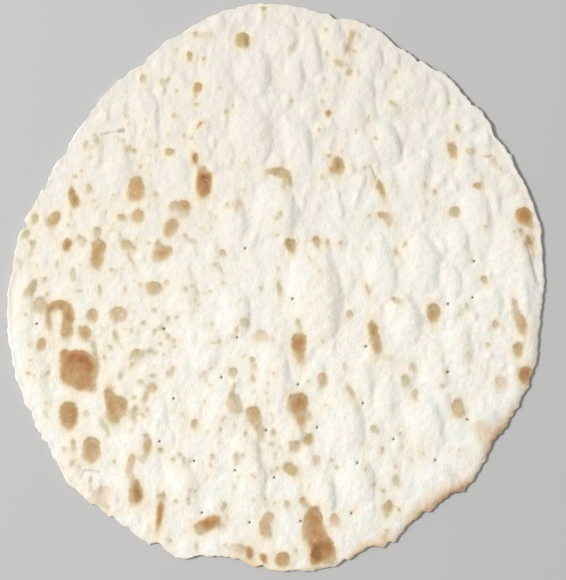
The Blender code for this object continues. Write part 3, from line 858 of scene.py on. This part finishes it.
class Finish:
    """A material in the making. Every node but arithmetic comes from its one method, node()."""

    def __init__(self, name):
        self.material = bpy.data.materials.new(name)
        self.material.use_nodes = True
        self.tree = self.material.node_tree
        self.shader = self.tree.nodes["Principled BSDF"]

    def node(self, kind, settings=None, inputs=None, output=0):
        """Adds a node: its settings first, then a value or a link for each input, by name or number."""
        node = self.tree.nodes.new(kind)
        for name, value in (settings or {}).items():
            if name == "stops":
                self.set_stops(node.color_ramp, value)
            else:
                setattr(node, name, value)
        for name, value in (inputs or {}).items():
            self.feed(node.inputs[name], value)
        return Field(self, node.outputs[output])

    def feed(self, socket, value):
        """Links a field to a socket, or sets the socket's own value."""
        if isinstance(value, Field):
            self.tree.links.new(value.socket, socket)
        else:
            socket.default_value = value

    def set_stops(self, ramp, stops):
        """Sets a ramp's stops, each a place and a colour."""
        while len(ramp.elements) < len(stops):
            ramp.elements.new(1)
        for element, (place, colour) in zip(ramp.elements, stops):
            element.position = place
            element.color = colour

    def mark(self, name):
        """A number painted on the mesh."""
        return self.node("ShaderNodeAttribute", {"attribute_name": name}, output="Fac")

    def along(self, part_x, part_y):
        """How far along a direction in the plan, in metres, times the direction's length."""
        spot = self.node("ShaderNodeTexCoord", output="Object")
        inputs = {0: spot, 1: (part_x, part_y, 0)}
        return self.node("ShaderNodeVectorMath", {"operation": "DOT_PRODUCT"}, inputs, "Value")

    def place(self, scale=(1, 1, 1)):
        """Position on the object, stretched by a scale for each axis."""
        spot = self.node("ShaderNodeTexCoord", output="Object")
        return self.node("ShaderNodeMapping", inputs={"Vector": spot, "Scale": scale})

    def noise(self, place, span, detail=2, rough=0.5):
        """Smooth noise from 0 to 1, with lumps about span millimetres across."""
        inputs = {"Vector": place, "Scale": 1 / (span * MM), "Detail": detail, "Roughness": rough}
        return self.node("ShaderNodeTexNoise", inputs=inputs, output="Fac")

    def wobble(self, place, span, detail, amount, rough=0.5):
        """The same noise round 0, up to half an amount either way."""
        return (self.noise(place, span, detail, rough) - 0.5) * amount

    def cells(self, place, span):
        """Distance from the middle of scattered cells about span millimetres across, 0 in the middle."""
        inputs = {"Vector": place, "Scale": 1 / (span * MM)}
        return self.node("ShaderNodeTexVoronoi", inputs=inputs, output="Distance")

    def ease(self, value, low, high, start=0.0, end=1.0):
        """From start at low to end at high, with a soft S between, and level past both."""
        inputs = {0: value, 1: low, 2: high, 3: start, 4: end}
        return self.node("ShaderNodeMapRange", {"interpolation_type": "SMOOTHSTEP"}, inputs)

    def blend(self, share, under, over, way="MIX"):
        """One colour laid over another by a share."""
        settings = {"data_type": "RGBA", "blend_type": way}
        return self.node("ShaderNodeMix", settings, {0: share, 6: under, 7: over}, output=2)

    def lay(self, under, over, value, low, high, most):
        """One colour laid over another: none of it where the value is at low, the most of it at high."""
        return self.blend(self.ease(value, low, high, 0, most), under, over)

    def ramp(self, value, stops):
        """Colour by value, through a row of stops."""
        return self.node("ShaderNodeValToRGB", {"stops": stops}, {"Fac": value}, output="Color")

    def bump(self, height):
        """Normal for a height in millimetres."""
        inputs = {"Height": height, "Distance": MM, "Strength": 1.0}
        return self.node("ShaderNodeBump", inputs=inputs, output="Normal")


def shade(red, green, blue):
    """A colour given as a screen's values, from 11 to 255, turned to the linear light that shaders use."""
    linear = [((part / 255 + 0.055) / 1.055) ** 2.4 for part in (red, green, blue)]
    return (*linear, 1.0)


CREAM = shade(250, 246, 239)
CHALK = shade(253, 250, 247)
BUTTER = shade(248, 240, 221)
BLUSH = shade(250, 239, 232)
SAGE = shade(236, 243, 232)
FALLOFF_SHADE = shade(234, 228, 219)
HALO = shade(246, 231, 204)
SCORCH_STOPS = [
    (0.0, shade(223, 216, 196)),
    (0.21, shade(213, 199, 171)),
    (0.425, shade(208, 185, 147)),
    (0.64, shade(197, 163, 119)),
    (0.8, shade(184, 141, 96)),
    (0.88, shade(174, 130, 88)),
    (1.0, shade(154, 108, 68)),
]
CRESCENT = shade(146, 118, 84)
OLIVE_TINT = (0.93, 1.0, 0.96, 1)
ROSE_TINT = (1.14, 0.95, 0.92, 1)
BLOOM = shade(236, 210, 176)
BLOOM_DARK_AND_SHADE = shade(190, 155, 120)
SPECK = shade(172, 162, 138)
HOLE_SHADE = shade(100, 92, 78)
CREASE_SHADE = shade(140, 124, 100)


def crust_colour(finish, place, drawn_out):
    """Colour of the crust: cream dough with slow tints, a painted shade that greys it towards the top and a
    painted highlight along the torn edge, then halo, scorched spots with pale flakes that are partly painted
    glints, bloom of the rim that is partly painted shade on the rolled edge, specks, and painted shade in the
    creases and docking holes. The second field is the stain, the share of scorched skin."""
    tint = finish.noise(place, 17, 2)
    warmth = finish.noise(drawn_out, 26, 3)
    dust = finish.noise(drawn_out, 3.2, 3, 0.6)
    dough = finish.lay(CREAM, BUTTER, warmth, 0.4, 0.66, 0.8)
    dough = finish.lay(dough, BLUSH, tint, 0.52, 0.72, 0.6)
    dough = finish.lay(dough, SAGE, tint, 0.46, 0.3, 0.6)
    patch = finish.noise(place, 3.2, 2)
    dough = finish.lay(dough, BLUSH, patch, 0.5, 0.68, 0.75)
    dough = finish.lay(dough, SAGE, patch, 0.5, 0.32, 0.85)
    dough = finish.lay(dough, CHALK, dust, 0.48, 0.7, 0.75)
    # Painted shade: the dough greys more and more towards the top, standing in for the falloff of the key
    # light.
    dough = finish.lay(dough, FALLOFF_SHADE, finish.along(-0.3, 1.0), -0.08, 0.17, 0.85)
    # Painted highlight: the outermost millimetre of the dough turns chalk white, a bright lip along the torn
    # edge.
    dough = finish.lay(dough, CHALK, finish.mark("torn"), 0.7, 0.95, 0.6)

    ragged = finish.wobble(place, 4.2, 2, 2.4) + finish.wobble(place, 1.4, 1, 0.5)
    depth = finish.mark("scorch_depth") + ragged
    scorch = finish.mark("scorch")
    hue = finish.mark("scorch_hue")
    mottle = finish.wobble(drawn_out, 2.4, 2, 0.4) + finish.wobble(drawn_out, 6, 1, 0.85)
    side = finish.mark("scorch_side")
    core = finish.ease(depth, -1.2, 3.9)
    browning = scorch * (core * 0.49 + 0.42 + side * 0.12 + mottle * (1.3 - scorch))
    spot = finish.ramp(browning, SCORCH_STOPS)
    spot = finish.blend(finish.ease(hue, 0.05, 1.0), spot, OLIVE_TINT, "MULTIPLY")
    spot = finish.blend(finish.ease(hue, -0.05, -1.0), spot, ROSE_TINT, "MULTIPLY")
    halo = finish.ease(depth, -5.0, 0.0, 0, 0.75) * (scorch + 0.3)
    ring = finish.ease(depth, -0.6, 0.4) * finish.ease(depth, 2.0, 0.6)
    crescent = ring * finish.ease(side, -0.3, 0.9) * finish.ease(scorch, 0.1, 0.8, 0.2, 0.4)
    spot = finish.blend(crescent, spot, CRESCENT)
    fade = depth * (finish.ease(scorch, 0.1, 0.2, 0.16, 0.38) + side * 0.12) + 0.46 + side * 0.14
    skin = finish.ease(fade, 0, 1) * finish.ease(scorch, 0, 0.35, 0.6, 1.0)
    # Painted highlight in part: the flakes also stand for glints on the glossy skin, and lighten the spot's
    # colour there.
    flakes_and_glints = finish.mark("flake") * finish.ease(finish.noise(place, 1.9, 1), 0.46, 0.6)
    stain = skin * (1 - flakes_and_glints * 0.45)
    colour = finish.blend(halo, dough, HALO)
    colour = finish.blend(stain, colour, spot)

    # Brown bloom of the rim; its darker tone on the rolled lower-right edge is painted shade as well.
    bloom_and_shade = finish.mark("rim_bloom") + finish.wobble(place, 4, 3, 0.5, 0.65)
    colour = finish.lay(colour, BLOOM, bloom_and_shade, 0.08, 0.75, 0.9)
    colour = finish.lay(colour, BLOOM_DARK_AND_SHADE, bloom_and_shade, 0.6, 1.05, 0.8)
    dotted = finish.ease(finish.cells(place, 3.8), 0.3, 0.08)
    specks = dotted * finish.ease(finish.noise(place, 14, 2), 0.5, 0.62)
    colour = finish.blend(specks * 0.22, colour, SPECK)
    # Painted shade: the creases are darkened grey-brown along their grooves.
    colour = finish.lay(colour, CREASE_SHADE, finish.mark("crease"), 0.1, 0.75, 0.65)
    # Painted shade: the docking holes are darkened deep grey-brown.
    colour = finish.lay(colour, HOLE_SHADE, finish.mark("docking"), 0.2, 0.85, 0.9)
    return colour, stain


def crust_relief(finish, place, drawn_out, stain):
    """Height in millimetres of what is finer than the mesh: wrinkles drawn out along the bread, floury
    grain, pores, the raw grain of the torn edge, and the slight blistering of the scorched skin."""
    wrinkles = finish.noise(drawn_out, 3.6, 3, 0.5) * 0.58
    grain = finish.noise(place, 1.3, 2, 0.6) * 0.26
    pores = finish.ease(finish.cells(place, 5.5), 0.0, 0.18, -0.06, 0.0)
    raw = finish.noise(place, 1.6, 3, 0.7) * finish.mark("torn") * 0.5
    skin = finish.noise(place, 2.2, 2) * stain * 0.16
    return wrinkles + grain + pores + raw + skin


def crust_finish():
    """Baked flatbread crust: matt and floury, a little glossier where the skin is scorched."""
    finish = Finish("baked_crust")
    place = finish.place()
    drawn_out = finish.place((1, 0.85, 1))
    colour, stain = crust_colour(finish, place, drawn_out)
    finish.feed(finish.shader.inputs["Base Color"], colour)
    gloss = 0.86 - stain * 0.2 - finish.noise(place, 2.0, 2) * 0.06
    finish.feed(finish.shader.inputs["Roughness"], gloss)
    normal = finish.bump(crust_relief(finish, place, drawn_out, stain))
    finish.feed(finish.shader.inputs["Normal"], normal)
    finish.shader.inputs["Specular IOR Level"].default_value = 0.25
    return finish.material


def floor_finish():
    """Plain, pale, matt studio floor."""
    finish = Finish("studio_floor")
    finish.shader.inputs["Base Color"].default_value = shade(196, 196, 195)
    finish.shader.inputs["Roughness"].default_value = 0.95
    finish.shader.inputs["Specular IOR Level"].default_value = 0.1
    return finish.material


# ---------------------------------------------------------------- the pieces and the studio

FLOOR_HALF = 3.0            # half the floor's side, in metres
FLOOR_DROP = 0.0002         # how far it lies under the bread, in metres

# The camera looks straight down, and the bread lies a little left of the frame's middle
FRAME_TALL = 580            # in pixels
PIXEL = 0.7 * MM            # what one pixel covers
FRAME_MIDDLE = (7.5 * PIXEL, -3 * PIXEL)
FOCUS_HEIGHT = 0.0025       # height of the edge of the bread, where a pixel is true, in metres
LENS = 120
SENSOR = 36


def make_bread():
    """The bread, in place over the CAD solid it stands for."""
    points, quads, triangles, top_count = bread_surface()
    low, high = (np.array(corner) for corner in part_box("taftoon"))
    bearing = np.linspace(-np.pi, np.pi, 3601)
    outline = np.column_stack(from_polar(bearing, outline_radius(bearing)))
    middle = (outline.min(axis=0) + outline.max(axis=0)) / 2
    offset = np.array([*((low + high)[:2] / 2 / MM - middle), low[2] / MM])
    mesh = mesh_from_arrays("bread", (points + offset) * MM, quads, triangles)
    paint_marks(mesh, points, top_count)
    mesh.materials.append(crust_finish())
    bread = bpy.data.objects.new("bread", mesh)
    bpy.context.scene.collection.objects.link(bread)
    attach(bread, "root")
    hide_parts("taftoon")


def make_floor():
    """A wide flat floor just under the bread."""
    corners = [(FLOOR_HALF * x, FLOOR_HALF * y, 0) for x, y in ((-1, -1), (1, -1), (1, 1), (-1, 1))]
    mesh = bpy.data.meshes.new("floor")
    mesh.from_pydata(corners, [], [(0, 1, 2, 3)])
    mesh.transform(Matrix.Translation((0, 0, -FLOOR_DROP)))
    mesh.materials.append(floor_finish())
    floor = bpy.data.objects.new("floor", mesh)
    bpy.context.scene.collection.objects.link(floor)


def area_light(name, place, target, size, watts, colour):
    """A square soft light at a place, turned to a target."""
    light = bpy.data.lights.new(name, "AREA")
    light.size = size
    light.energy = watts
    light.color = colour
    lamp = bpy.data.objects.new(name, light)
    lamp.location = place
    lamp.rotation_euler = (Vector(target) - Vector(place)).to_track_quat("-Z", "Y").to_euler()
    bpy.context.scene.collection.objects.link(lamp)


def light_studio():
    """A soft key from the left, low enough to show the blisters, and even light all round."""
    area_light("key", place=(-2.42, 0.6, 2.75), target=(0, 0, 0), size=0.75, watts=108, colour=(1, 1, 1))
    world = bpy.data.worlds.new("studio")
    world.use_nodes = True
    background = world.node_tree.nodes["Background"]
    background.inputs["Color"].default_value = (1.0, 0.99, 0.965, 1)
    background.inputs["Strength"].default_value = 0.42
    bpy.context.scene.world = world
    bpy.context.scene.view_settings.view_transform = "Standard"


def make_camera():
    """A long lens straight above, at the distance where one pixel is 0.7 mm at the edge of the bread."""
    camera = bpy.data.cameras.new("camera")
    camera.lens = LENS
    camera.sensor_width = SENSOR
    camera.clip_end = 20
    distance = FRAME_TALL * PIXEL * LENS / SENSOR
    holder = bpy.data.objects.new("camera", camera)
    holder.location = (*FRAME_MIDDLE, FOCUS_HEIGHT + distance)
    bpy.context.scene.collection.objects.link(holder)
    bpy.context.scene.camera = holder


make_camera()
make_floor()
make_bread()
light_studio()
